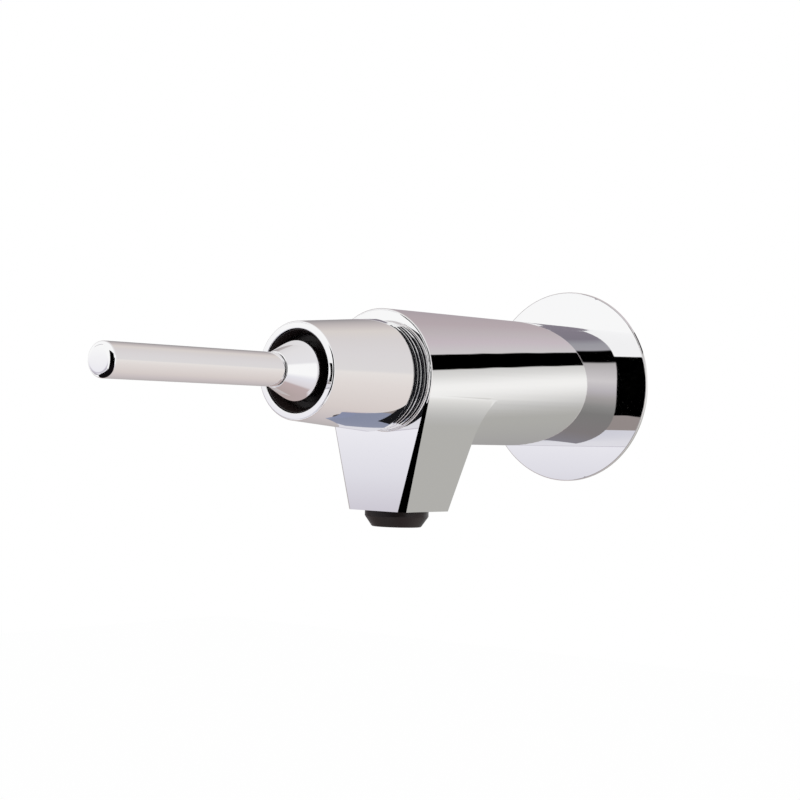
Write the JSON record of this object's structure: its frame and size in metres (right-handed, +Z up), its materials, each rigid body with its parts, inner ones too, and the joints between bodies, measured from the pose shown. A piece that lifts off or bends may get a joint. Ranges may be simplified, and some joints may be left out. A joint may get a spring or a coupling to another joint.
{
  "type": "push timed tap",
  "caption": "Chrome wall-mounted self-closing tap: level barrel on a thin wall flange, tapered spout with a black nozzle, tapered head and a long round push lever.",
  "frame": {"origin": "centre of the barrel's axis in the wall plane, where the inlet thread leaves the flange", "axes": "+Y into the wall along the inlet thread, the barrel and lever run along -Y, +Z up, +X to the right seen from the front"},
  "size_m": [0.0662, 0.2399, 0.0802],
  "materials": {
    "chrome": "polished chrome plate",
    "black_plastic": "satin black moulded plastic",
    "rubber": "black sealing rubber",
    "brass": "turned brass",
    "steel": "plain stainless steel"
  },
  "bodies": {
    "tap": {"flange_gasket": "rubber", "wall_flange": "chrome", "inlet_nipple": "brass", "nipple_o_ring": "rubber", "inlet_strainer": "steel", "flow_regulator": "black_plastic", "regulator_o_ring": "rubber", "body_casting": "chrome", "cartridge_housing": "brass", "housing_o_rings": "rubber", "seat_ring": "brass", "timing_cup": "black_plastic", "metering_pin": "steel", "return_spring": "steel", "gland_bush": "black_plastic", "stem_o_rings": "rubber", "retaining_clip": "steel", "lock_ring": "chrome", "head_sleeve": "chrome", "bezel_ring": "black_plastic", "aerator_gasket": "rubber", "aerator_housing": "black_plastic", "aerator_insert": "black_plastic", "aerator_screen": "steel"},
    "push_carrier": {"thrust_washer": "black_plastic"},
    "turn_carrier": {"slip_washer": "black_plastic"},
    "lever": {"lever_base": "brass", "lever_cone": "chrome", "lever_rod": "chrome", "rod_stud": "steel"},
    "valve": {"valve_stem": "steel", "piston": "brass", "cup_seal": "rubber", "seat_washer": "rubber"}
  },
  "joints": [
    {"name": "lever_push", "type": "slide", "parent": "tap", "child": "push_carrier", "axis": [0, 1, 0], "range_m": [0, 0.004], "stiffness_N_per_m": 2000, "springref_m": -0.01, "deforming": ["return_spring"]},
    {"name": "lever_turn", "type": "hinge", "parent": "push_carrier", "child": "turn_carrier", "pos_m": [0, -0.139, 0], "axis": [0, 1, 0], "continuous": true},
    {"name": "lever_tilt", "type": "hinge", "parent": "turn_carrier", "child": "lever", "pos_m": [0, -0.1382, 0.012], "axis": [1, 0, 0], "range_deg": [0, 10], "stiffness_Nm_per_rad": 0.3, "springref_deg": -45.84},
    {"name": "valve_stroke", "type": "slide", "parent": "push_carrier", "child": "valve", "axis": [0, 1, 0], "range_m": [0, 0.0021], "deforming": ["return_spring"]}
  ],
  "couplings": [
    {"joint": "valve_stroke", "follows": "lever_tilt", "m_per_rad": 0.012}
  ]
}
